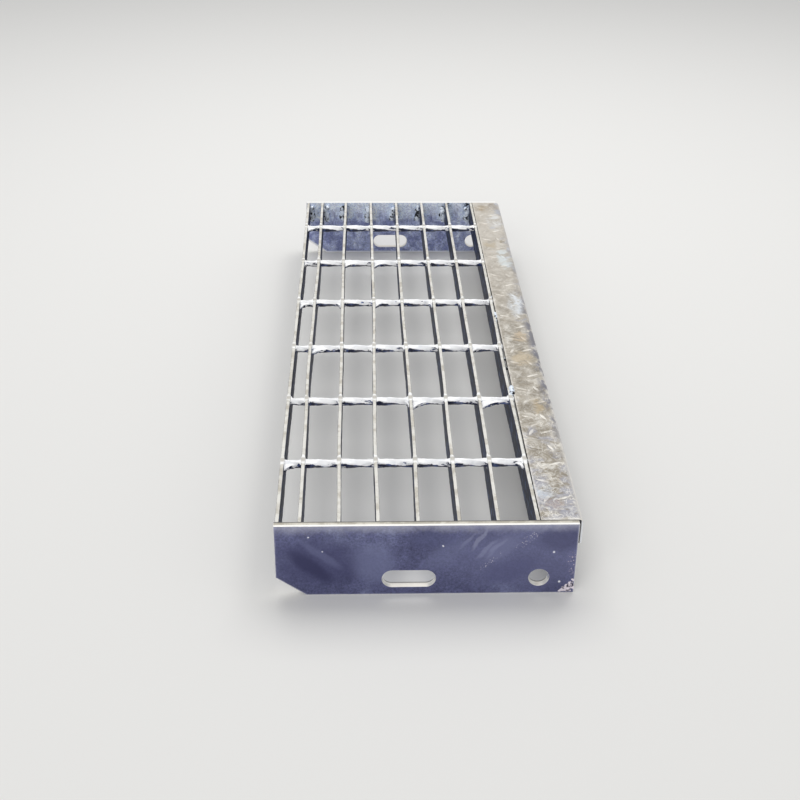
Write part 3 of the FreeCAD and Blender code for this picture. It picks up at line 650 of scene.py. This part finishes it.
# Marks on the left plate's outer face: centre in X and Z, half size, tilt, colour, strength, dotted or not
MARK_DEPTH = 3
LEFT_MARKS = [
    ((-82, 32), (54, 30), 0, "#43446A", 0.75, False),
    ((70, 34), (80, 46), 0, "#6E7195", 0.5, False),
    ((-91, 28), (27, 9), -42, "#34355A", 0.85, False),
    ((-82, 38), (26, 5), -38, "#6D7196", 0.45, False),
    ((-42, 30), (22, 26), 0, "#757A9E", 0.6, False),
    ((38, 52), (15, 2.2), 59, "#A3A6C0", 0.4, False),
    ((29, 50), (13, 2), 52, "#8F93B0", 0.35, False),
    ((12, 38), (30, 12), 40, "#777CA0", 0.35, False),
    ((100, 52), (24, 16), 0, "#494A6C", 0.6, False),
    ((62, 22), (30, 13), 20, "#565880", 0.45, False),
    ((54, 43), (24, 11), 40, "#7F83A6", 0.45, False),
    ((43, 42), (15, 2.6), 47, "#9498B8", 0.4, False),
    ((52, 45), (13, 2), 43, "#9498B8", 0.35, False),
    ((48, 39), (11, 1.6), 50, "#8A8EB0", 0.35, False),
    ((4, 52), (26, 11), 0, "#565A80", 0.45, False),
    ((47, 31), (16, 2.4), 43.6, "#CFC9D8", 0.75, True),
    ((75, 51), (17, 4), 41, "#CFC9D8", 0.6, True),
    ((110, 28), (5, 13), 0, "#C9BBCB", 0.9, True),
    ((10.9, 45.8), (1.1, 1.1), 0, "#F0F0F6", 1, False),
    ((94.8, 39.2), (1.5, 1.1), 0, "#E3E4EE", 1, False),
    ((101.6, 10.3), (1.3, 1.3), 0, "#F0F0F6", 1, False),
    ((-80.4, 41.2), (0.9, 0.9), 0, "#E3E4EE", 0.9, False),
    ((-91.4, 54.4), (0.9, 0.9), 0, "#E3E4EE", 0.9, False),
]
# Stains and frosted patches on the nosing's top: centre in X and Y, half size, colour
STAIN_DEPTH = 4
NOSING_STAINS = [
    ((107.6, -274), (6, 8), "#7A664C"),
    ((87, -305), (7, 11), "#846A5E"),
    ((99, -309), (9, 7), "#9A8880"),
    ((92, -292), (10, 14), "#C3CCD6"),
    ((104, -160), (9, 14), "#AC9874"),
    ((100, -72), (13, 20), "#BBA98A"),
    ((102, -28), (11, 13), "#BFA988"),
    ((92, -22), (7, 16), "#D6D4CC"),
    ((106, 44), (10, 36), "#E3EAF1"),
    ((106, 160), (10, 34), "#D9E2E5"),
    ((105, 270), (12, 26), "#E4E6E7"),
    ((93, 198), (10, 16), "#B8A98D"),
    ((108.5, 210), (5, 6), "#857758"),
    ((94, 310), (12, 14), "#A08C6C"),
    ((108, 317), (7, 12), "#7E6E60"),
]

plate_finish = plate_zinc()
bar_finish = bar_zinc()
rod_finish = rod_zinc()
nosing_finish = nosing_zinc()
weld_finish = weld_zinc()
dross_finish = dross_zinc()


# End plates: the frame's own outline with the edges rounded by the zinc
PLATE_ROUNDING = 1.1 * MM
PLATE_ROUNDED_FROM = math.radians(40)


def make_plate(side):
    node = f"{side}_end_plate"
    plate = merged_copy(node, f"{node}_dipped")
    shape(plate, "BEVEL", width=PLATE_ROUNDING, segments=3, limit_method="ANGLE",
          angle_limit=PLATE_ROUNDED_FROM)
    dress(plate, plate_finish, "galvanised_plate", node)


# Bearing bars: a divided flat on edge, its corners rounded, swollen where the rods are forged through it
BAR_STEP = 1.5 * MM
BAR_CUTS = [44 * MM, 52 * MM, 58 * MM, 61.5 * MM, 63.5 * MM]
MOST_STRAY = 3 * MM
BAR_ROUNDING = 0.6 * MM
# Swelling at the crossings: how far, from which height, over which rise and reach, and its share on the top
SWELLING = 0.5 * MM
SWOLLEN_FROM = 56 * MM
SWOLLEN_RISE = 5 * MM
SWOLLEN_REACH = 3.4 * MM
SWOLLEN_TOP = 0.25


def make_bar(number):
    node = f"bearing_bar_{number + 1}"
    low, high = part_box(node)
    bar = divided_block(f"{node}_dipped", low, high, 1, round((high.y - low.y) / BAR_STEP))
    edit(bar)
    for height in BAR_CUTS:
        bpy.ops.mesh.select_all(action="SELECT")
        bpy.ops.mesh.bisect(plane_co=(0, 0, height), plane_no=UP)
    shape(bar, "BEVEL", width=BAR_ROUNDING, segments=2, limit_method="ANGLE", angle_limit=ROUNDED_FROM)

    def forged(place):
        across = min(abs(place.y - rod) for rod in ROD_PLACES)
        near_top = min(1, max(0, (place.z - SWOLLEN_FROM) / SWOLLEN_RISE))
        flat_top = SWOLLEN_TOP if place.z > TREAD_TOP - CLOSE_BY else 1
        return near_top * flat_top * math.exp(-(across / SWOLLEN_REACH) ** 2)

    weigh(bar, "forged", forged)
    shape(bar, "DISPLACE", strength=SWELLING, mid_level=0, vertex_group="forged")
    # Bent out of line: moved back by the most, then forward by its own stray at each place
    weigh(bar, "strayed", lambda place: (stray(number, place.y) + MOST_STRAY) / (2 * MOST_STRAY))
    edit(bar)
    bpy.ops.transform.translate(value=(-MOST_STRAY, 0, 0))
    shape(bar, "DISPLACE", direction="X", strength=2 * MOST_STRAY, mid_level=0, vertex_group="strayed")
    lumps(bar, grain=5 * MM, depth=0.35 * MM)
    lumps(bar, grain=28 * MM, depth=0.5 * MM)
    dress(bar, bar_finish, "galvanised_bar", node)


# Cross rods: a divided square rod, twisted a quarter turn per bay, coated in thick uneven zinc
ROD_STEP = 1.2 * MM
ROD_COAT = 0.45 * MM
ROD_ROUNDING = 0.6 * MM
# A web's hollow as a share of its size, its thickness, and its corner's place beside the bar and over the rod
WEB_HOLLOW = 0.68
WEB_THICKNESS = 2.4 * MM
WEB_BESIDE = 1.2 * MM
WEB_ABOVE = 1 * MM
# A spur's radius, where its tail starts and how that is drawn out, its sizes and its place at a crossing
SPUR_RADIUS = 1 * MM
SPUR_TAIL = 0.25 * MM
SPUR_DRAWN = (0.5, 2, 0.6)
SPUR_SIZES = (0.9, 1.7)
SPUR_LENGTHS = (0.7, 1.6)
SPUR_BESIDE = 1.9 * MM
SPUR_ALONG = 1.2 * MM
SPUR_ABOVE = 1.6 * MM


def zinc_web(corner, run, reach, thickness):
    """A film of zinc in the corner between a rod and a bar: run goes along the rod, reach along the bar."""
    put_down()
    bpy.ops.mesh.primitive_plane_add(size=1)
    web = bpy.context.object
    bpy.ops.transform.resize(value=(abs(run), abs(reach), 1))
    bpy.ops.transform.translate(value=corner + Vector((run / 2, reach / 2, -thickness)))
    bpy.ops.object.transform_apply(location=True, rotation=True, scale=True)
    tip = corner + Vector((run, reach, -thickness))
    edit(web)
    choose(web, "verts", lambda vert: (vert.co - tip).length < CLOSE_BY)
    bpy.ops.transform.translate(value=(-WEB_HOLLOW * run, -WEB_HOLLOW * reach, 0))
    bpy.ops.mesh.select_all(action="SELECT")
    bpy.ops.mesh.subdivide(number_cuts=2)
    bpy.ops.mesh.extrude_region_move(TRANSFORM_OT_translate={"value": (0, 0, thickness)})
    face_out()
    shape(web, "SUBSURF", levels=2, render_levels=2)
    lumps(web, grain=3 * MM, depth=0.5 * MM)
    return web


# Zinc webs on the rods' near side: rod, bar, run along the rod and reach along the bar in millimetres
WEBS = [
    (0, 0, 16, -10), (1, 4, 19, -14), (1, 6, 29, -13), (1, 4, -6, -10), (3, 0, 13, -13), (3, 1, -5, -9),
    (3, 2, -8, -12), (3, 3, 12, -10), (3, 5, -8, -10), (4, 2, 22, -9), (4, 3, 18, -11), (4, 0, 6, -8),
    (2, 1, 26, -9), (2, 3, -8, -8), (5, 0, 14, -8), (0, 7, -10, -9), (2, 6, 14, -7), (3, 6, -5, -12),
]


def make_spur():
    """A lump of zinc drawn out to a point along Y, as it drains from a crossing along a bar."""
    put_down()
    bpy.ops.mesh.primitive_ico_sphere_add(subdivisions=2, radius=SPUR_RADIUS)
    spur = bpy.context.object
    edit(spur)
    choose(spur, "verts", lambda vert: vert.co.y > SPUR_TAIL)
    bpy.ops.transform.resize(value=SPUR_DRAWN, center_override=(0, 0, 0))
    put_down()
    return spur


def place_spurs(spur, rod):
    """A copy of the spur in each corner of each crossing of one rod, no two of a size."""
    placed = []
    for number, straight in enumerate(BAR_PLACES):
        bar = straight + stray(number, rod)
        for side in (1,) if number == 0 else (-1, 1):
            for way in (-1, 1):
                size = random.uniform(*SPUR_SIZES)
                drawn = size * random.uniform(*SPUR_LENGTHS)
                corner = Vector((bar + side * SPUR_BESIDE, rod + way * SPUR_ALONG, ROD_AXIS + SPUR_ABOVE))
                turn = Matrix.Rotation(0 if way > 0 else math.pi, 4, "Z")
                stretch = Matrix.Diagonal((size, drawn, size, 1))
                placed.append(placed_copy(spur, "spur", Matrix.Translation(corner) @ turn @ stretch))
    return placed


def make_rod(number, spur):
    node = f"cross_rod_{number + 1}"
    low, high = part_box(node)
    half = ROD_SIDE / 2
    along = ROD_PLACES[number]
    start = Vector((low.x + stray(0, along) + ROD_COAT - ROD_LEVEL_AT, -half, -half))
    end = Vector((high.x - ROD_COAT - ROD_LEVEL_AT, half, half))
    rod = divided_block(f"{node}_dipped", start, end, round((end.x - start.x) / ROD_STEP), 2)
    shape(rod, "BEVEL", width=ROD_ROUNDING, segments=2, limit_method="ANGLE", angle_limit=ROUNDED_FROM)
    shape(rod, "SIMPLE_DEFORM", deform_method="TWIST", deform_axis="X",
          angle=math.tau * (end.x - start.x) / ROD_TURN)
    edit(rod)
    bpy.ops.transform.translate(value=(ROD_LEVEL_AT, along, ROD_AXIS))
    zinc = place_spurs(spur, along)
    for rod_number, bar, run, reach in WEBS:
        if rod_number == number:
            beside = BAR_PLACES[bar] + stray(bar, along) + math.copysign(WEB_BESIDE, run)
            corner = Vector((beside, along - WEB_BESIDE, ROD_AXIS + WEB_ABOVE))
            zinc.append(zinc_web(corner, run * MM, reach * MM, WEB_THICKNESS))
    rod = melt([rod] + zinc, rod.name, voxel=0.5 * MM, smoothings=1, grain=4 * MM, depth=0.9 * MM)
    lumps(rod, grain=12 * MM, depth=0.8 * MM)
    shape(rod, "DISPLACE", strength=ROD_COAT, mid_level=0)
    dress(rod, rod_finish, "galvanised_rod", node)


# Nosing: checker plate folded down at the front, with raised lentils in alternating directions
NOSING_SHEET = 3 * MM
NOSING_BEND = 4 * MM
LENTIL_HEIGHT = 1 * MM
LENTIL_WIDTH = 3.2 * MM
LENTIL_HALF_ARC = math.radians(36)
LENTIL_LENGTH = 14 * MM
LENTIL_PITCH = 49 * MM
LENTILS_PER_LINE = 13
LENTIL_WEAR = (0.75, 1.1)
SHEET_CELLS_ACROSS = 8
SHEET_CELLS_ALONG = 220
FLANGE_CELLS = 4
SHEET_ROUNDING = 0.4 * MM
# Lines on the top: place in X, tilt from X, first place in Y, height left by wear
# Lines on the flange: place in Z, tilt from Y, first place in Y, height left by wear
TOP_LINES = [
    (104.71, 25, -301, 0.75), (104.71, 115, -276.5, 0.4),
    (91.49, -25, -276.5, 0.75), (91.49, 65, -301, 0.4),
]
FLANGE_LINES = [(52, 65, -276.5, 0.75), (52, 155, -301, 0.75)]


def make_lentil():
    """A pointed mound: an arc spun about its own chord and flattened."""
    radius = LENTIL_LENGTH / 2 / math.sin(LENTIL_HALF_ARC)
    chord = radius * math.cos(LENTIL_HALF_ARC)
    put_down()
    bpy.ops.mesh.primitive_circle_add(vertices=60, radius=radius)
    lentil = bpy.context.object
    edit(lentil)
    choose(lentil, "verts", lambda vert: vert.co.y < chord - SAME_PLACE)
    bpy.ops.mesh.delete(type="VERT")
    bpy.ops.mesh.select_all(action="SELECT")
    bpy.ops.mesh.spin(steps=16, angle=math.tau, center=(0, chord, 0), axis=(1, 0, 0))
    bpy.ops.mesh.select_all(action="SELECT")
    bpy.ops.transform.translate(value=(0, -chord, 0))
    bpy.ops.mesh.remove_doubles(threshold=SAME_PLACE)
    face_out()
    sag = radius - chord
    flattened = (1, LENTIL_WIDTH / 2 / sag, LENTIL_HEIGHT / sag)
    bpy.ops.transform.resize(value=flattened, center_override=(0, 0, 0))
    put_down()
    return lentil


def place_lentil(lentil, turn, place, left):
    rubbed = Matrix.Scale(left * random.uniform(*LENTIL_WEAR), 4, UP)
    return placed_copy(lentil, "lentil", Matrix.Translation(place) @ turn @ rubbed)


def make_nosing():
    low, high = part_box("nosing")
    front = high.x - LENTIL_HEIGHT
    middle = ((front + low.x) / 2, 0, TREAD_TOP)
    sheet = divided_sheet("nosing_sheet", middle, front - low.x, high.y - low.y, SHEET_CELLS_ACROSS,
                          SHEET_CELLS_ALONG)
    edit(sheet, "EDGE")
    drop = (TREAD_TOP - low.z) / FLANGE_CELLS

    def choose_front(level):
        def at_front(vert):
            return abs(vert.co.x - front) < SAME_PLACE and abs(vert.co.z - level) < SAME_PLACE

        choose(sheet, "edges", lambda edge: all(at_front(vert) for vert in edge.verts))

    for row in range(FLANGE_CELLS):
        choose_front(TREAD_TOP - row * drop)
        bpy.ops.mesh.extrude_edges_move(TRANSFORM_OT_translate={"value": (0, 0, -drop)})
    choose_front(TREAD_TOP)
    bpy.ops.mesh.bevel(offset=NOSING_BEND, segments=6, affect="EDGES")
    face_out()
    put_down()
    if sheet.data.polygons[0].normal.z < 0:
        edit(sheet)
        bpy.ops.mesh.flip_normals()
    shape(sheet, "SOLIDIFY", thickness=NOSING_SHEET, offset=-1, use_even_offset=True)
    shape(sheet, "BEVEL", width=SHEET_ROUNDING, segments=2, limit_method="ANGLE", angle_limit=ROUNDED_FROM)
    lumps(sheet, grain=10 * MM, depth=0.25 * MM)
    lentil = make_lentil()
    upright = Matrix(((0, 0, 1, 0), (1, 0, 0, 0), (0, 1, 0, 0), (0, 0, 0, 1)))
    placed = []
    for number in range(LENTILS_PER_LINE):
        for across, tilt, first, left in TOP_LINES:
            place = Vector((across * MM, first * MM + number * LENTIL_PITCH, TREAD_TOP))
            placed.append(place_lentil(lentil, Matrix.Rotation(math.radians(tilt), 4, "Z"), place, left))
        for height, tilt, first, left in FLANGE_LINES:
            place = Vector((front, first * MM + number * LENTIL_PITCH, height * MM))
            turn = upright @ Matrix.Rotation(math.radians(tilt), 4, "Z")
            placed.append(place_lentil(lentil, turn, place, left))
    bpy.data.objects.remove(lentil)
    nosing = join([sheet] + placed, "nosing_dipped")
    dress(nosing, nosing_finish, "checker_plate", "nosing")


# Welds: a lumpy bead beside each bar's end, tacks over the nosing's gap and beads under its ends
WELD_FOOT = 44.5 * MM
WELD_HEAD = 58 * MM
FRONT_WELDED_BARS = 2
# Tacks: place along the gap, lump radius, length and depth of their middle below the top
TACKS = [(-283.5, 1.1, 6, 1.6), (-131.5, 2.3, 11, 0.6), (20.5, 1.6, 8, 0.8), (172.5, 1.1, 6, 1.6)]
DROP_PLACES = [-90 * MM, -72 * MM, 8 * MM, 63 * MM]
GAP_MIDDLE = 83 * MM
TACK_LUMPS = 6
# Drops in the gap: depth of their middle below the top, length and lump radius
DROP_SUNK = 1.2 * MM
DROP_LENGTH = 2.5 * MM
DROP_RADIUS = 1 * MM
# Beads beside the bars: distance from the bar's middle and from the plate, lump radius, number and wander
BEAD_BESIDE = 4.2 * MM
BEAD_OUT = 1 * MM
BEAD_RADIUS = 3 * MM
BEAD_LUMPS = 10
BEAD_WANDER = 1.7 * MM
# Beads under the nosing's ends: start in X, height, length, lump radius and number
END_BEAD_START = 89 * MM
END_BEAD_HEIGHT = 60.8 * MM
END_BEAD_LENGTH = 18 * MM
END_BEAD_RADIUS = 1.7 * MM
END_BEAD_LUMPS = 8


def make_plate_welds(side, inner):
    beads = []
    for number, bar in enumerate(BAR_PLACES):
        forward = 1 if number < FRONT_WELDED_BARS else -1
        beside = bar + stray(number, inner) + forward * BEAD_BESIDE
        foot = Vector((beside, inner - math.copysign(BEAD_OUT, inner), WELD_FOOT))
        head = Vector((foot.x, foot.y, WELD_HEAD))
        beads += lump_run(foot, head, BEAD_RADIUS, BEAD_LUMPS, BEAD_WANDER)
    node = f"{side}_plate_welds"
    welds = melt(beads, f"{node}_dipped", voxel=0.5 * MM, smoothings=3, grain=2.5 * MM, depth=0.9 * MM)
    dress(welds, weld_finish, "galvanised_weld", node)


def make_nosing_welds():
    beads = []
    for place, radius, length, sunk in TACKS:
        start = Vector((GAP_MIDDLE, (place - length / 2) * MM, TREAD_TOP - sunk * MM))
        end = start + Vector((0, length * MM, 0))
        beads += lump_run(start, end, radius * MM, TACK_LUMPS, wander=0.4 * MM)
    for place in DROP_PLACES:
        start = Vector((GAP_MIDDLE, place, TREAD_TOP - DROP_SUNK))
        beads += lump_run(start, start + Vector((0, DROP_LENGTH, 0)), DROP_RADIUS, count=2, wander=0.2 * MM)
    for inner in (-PLATE_INNER, PLATE_INNER):
        start = Vector((END_BEAD_START, inner - math.copysign(BEAD_OUT, inner), END_BEAD_HEIGHT))
        end = start + Vector((END_BEAD_LENGTH, 0, 0))
        beads += lump_run(start, end, END_BEAD_RADIUS, END_BEAD_LUMPS, wander=0.4 * MM)
    welds = melt(beads, "nosing_welds_dipped", voxel=0.45 * MM, smoothings=3, grain=2.5 * MM, depth=0.7 * MM)
    dress(welds, weld_finish, "galvanised_weld", "nosing_welds")


# Dross: a rough crust in the left plate's lower front corner, thickest at the corner itself
DROSS_WIDTH = 11 * MM
DROSS_HEIGHT = 13 * MM
DROSS_LUMPS = 110
DROSS_CROWDING = 1.2
DROSS_RADII = (0.5, 1.0)
DROSS_FROM_FRONT = 0.8 * MM
DROSS_FROM_FOOT = 1.6 * MM
DROSS_SUNK = 0.2 * MM


def make_dross():
    crust = []
    _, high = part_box("left_end_plate")
    for _ in range(DROSS_LUMPS):
        out = random.random() ** DROSS_CROWDING
        rise = random.random() * (1 - out)
        radius = random.uniform(*DROSS_RADII) * MM
        place = Vector((high.x - DROSS_FROM_FRONT - out * DROSS_WIDTH, DROSS_SUNK - PLATE_OUTER,
                        DROSS_FROM_FOOT + rise * DROSS_HEIGHT))
        crust += lump_run(place, place, radius, count=1, wander=0.2 * MM)
    dross = melt(crust, "zinc_dross_crust", voxel=0.3 * MM, smoothings=3, grain=1.4 * MM, depth=0.5 * MM)
    dress(dross, dross_finish, "galvanised_plate")


make_plate("left")
make_plate("right")
for bar_number in range(BAR_COUNT):
    make_bar(bar_number)
zinc_spur = make_spur()
for rod_number in range(ROD_COUNT):
    make_rod(rod_number, zinc_spur)
bpy.data.objects.remove(zinc_spur)
make_nosing()
make_plate_welds("left", -PLATE_INNER)
make_plate_welds("right", PLATE_INNER)
make_nosing_welds()
make_dross()


# Stage: a pale floor, soft light from above and behind, a wide fill from the front, and the camera
FLOOR_WIDTH = 14
FLOOR_ROUGHNESS = 0.9
SKY_STRENGTH = 0.55
# Lamps: name, place, target, width, depth and power
LAMPS = [
    ("key", (0.1, 0.75, 1.8), (0, 0, 0), 1.8, 1.4, 21.5),
    ("fill", (-0.95, -3.1, 2), (0, -0.2, 0), 2.9, 2.2, 44),
]
# Camera: where it stands, the way it looks, its right-hand side, and its lens and sensor in millimetres
EYE = Vector((-49.4, -1081.5, 606.7)) * MM
AHEAD = Vector((0.0298, 0.8645, -0.5017)).normalized()
RIGHT = Vector((0.9995, -0.0284, 0.0104))
LENS = 55.34
SENSOR = 36


def make_floor():
    put_down()
    bpy.ops.mesh.primitive_plane_add(size=FLOOR_WIDTH)
    floor = bpy.context.object
    floor.name = "floor"
    paper = bpy.data.materials.new("pale_paper")
    paper.use_nodes = True
    shader = paper.node_tree.nodes["Principled BSDF"]
    shader.inputs["Base Color"].default_value = linear("#E6E5E2")
    shader.inputs["Roughness"].default_value = FLOOR_ROUGHNESS
    floor.data.materials.append(paper)


def make_lamp(name, place, target, width, depth, power):
    lamp = bpy.data.lights.new(name, "AREA")
    lamp.shape = "RECTANGLE"
    lamp.size = width
    lamp.size_y = depth
    lamp.energy = power
    holder = bpy.data.objects.new(name, lamp)
    holder.location = place
    holder.rotation_euler = (Vector(target) - Vector(place)).to_track_quat("-Z", "Y").to_euler()
    bpy.context.scene.collection.objects.link(holder)


def make_camera():
    right = (RIGHT - AHEAD * RIGHT.dot(AHEAD)).normalized()
    above = right.cross(AHEAD)
    camera = bpy.data.cameras.new("camera")
    camera.lens = LENS
    camera.sensor_width = SENSOR
    holder = bpy.data.objects.new("camera", camera)
    turned = Matrix((right, above, -AHEAD)).transposed().to_4x4()
    holder.matrix_world = Matrix.Translation(EYE) @ turned
    bpy.context.scene.collection.objects.link(holder)
    bpy.context.scene.camera = holder


make_floor()
for lamp_settings in LAMPS:
    make_lamp(*lamp_settings)
make_camera()
sky = bpy.data.worlds.new("soft_room")
sky.use_nodes = True
backdrop = sky.node_tree.nodes["Background"]
backdrop.inputs["Color"].default_value = linear("#F2F3F5")
backdrop.inputs["Strength"].default_value = SKY_STRENGTH
bpy.context.scene.world = sky
bpy.context.scene.view_settings.view_transform = "Standard"
